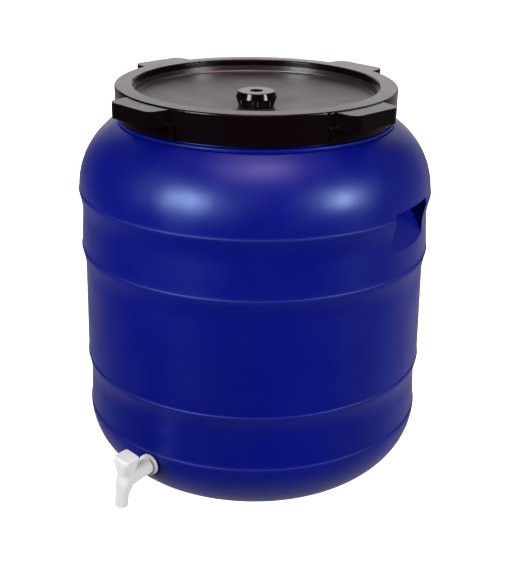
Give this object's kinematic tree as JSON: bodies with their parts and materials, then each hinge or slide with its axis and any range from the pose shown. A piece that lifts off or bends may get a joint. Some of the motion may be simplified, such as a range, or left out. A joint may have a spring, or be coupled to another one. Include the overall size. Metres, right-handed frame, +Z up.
{
  "type": "plastic drum",
  "caption": "Wide-mouth plastic storage drum with ribbed round walls, a lugged screw ring over a dished lid with a vent cap, hand grips and a drain tap.",
  "frame": {"origin": "on the drum's axis, in the plane of the foot that it stands on", "axes": "+Z up along the drum's axis, the tap points midway between -X and -Y, and the hand grips stand a quarter turn to each side of it"},
  "size_m": [0.3998, 0.3998, 0.434],
  "materials": {
    "blue_plastic": "satin blow-moulded polyethylene",
    "black_plastic": "glossy moulded polypropylene",
    "black_lid_plastic": "satin moulded polyethylene",
    "black_cap_plastic": "glossy moulded polypropylene",
    "grey_rubber": "foamed gasket",
    "liner_foam": "foam liner",
    "white_plastic": "satin moulded polyethylene",
    "white_handle_plastic": "satin moulded polyethylene",
    "black_rubber": "moulded rubber"
  },
  "bodies": {
    "drum": {"drum_body": "blue_plastic", "tap_body": "white_plastic", "tap_outer_washer": "black_rubber", "tap_inner_washer": "black_rubber", "tap_nut": "white_plastic"},
    "lid": {"inner_lid": "black_lid_plastic", "lid_gasket": "grey_rubber"},
    "ring": {"screw_ring": "black_plastic"},
    "vent_seal": {"vent_liner": "liner_foam"},
    "vent_top": {"vent_cap": "black_cap_plastic"},
    "tap_plug": {"tap_handle": "white_handle_plastic", "plug_o_ring": "black_rubber"}
  },
  "joints": [
    {"name": "lid_rise", "type": "slide", "parent": "drum", "child": "lid", "axis": [0, 0, 1], "range_m": [0, 0.01201]},
    {"name": "ring_turn", "type": "hinge", "parent": "lid", "child": "ring", "pos_m": [0, 0, 0.418], "axis": [0, 0, 1], "range_deg": [0, 360]},
    {"name": "vent_rise", "type": "slide", "parent": "lid", "child": "vent_seal", "axis": [0, 0, 1], "range_m": [0, 0.00451]},
    {"name": "vent_cap_turn", "type": "hinge", "parent": "vent_seal", "child": "vent_top", "pos_m": [0, 0, 0.417], "axis": [0, 0, 1], "range_deg": [0, 540]},
    {"name": "tap_turn", "type": "hinge", "parent": "drum", "child": "tap_plug", "pos_m": [-0.16893, -0.16893, 0.0429], "axis": [0.096, -0.096, 0.9907], "range_deg": [0, 90]}
  ],
  "couplings": [
    {"joint": "lid_rise", "follows": "ring_turn", "m_per_rad": 0.0019099},
    {"joint": "vent_rise", "follows": "vent_cap_turn", "m_per_rad": 0.00047746}
  ]
}
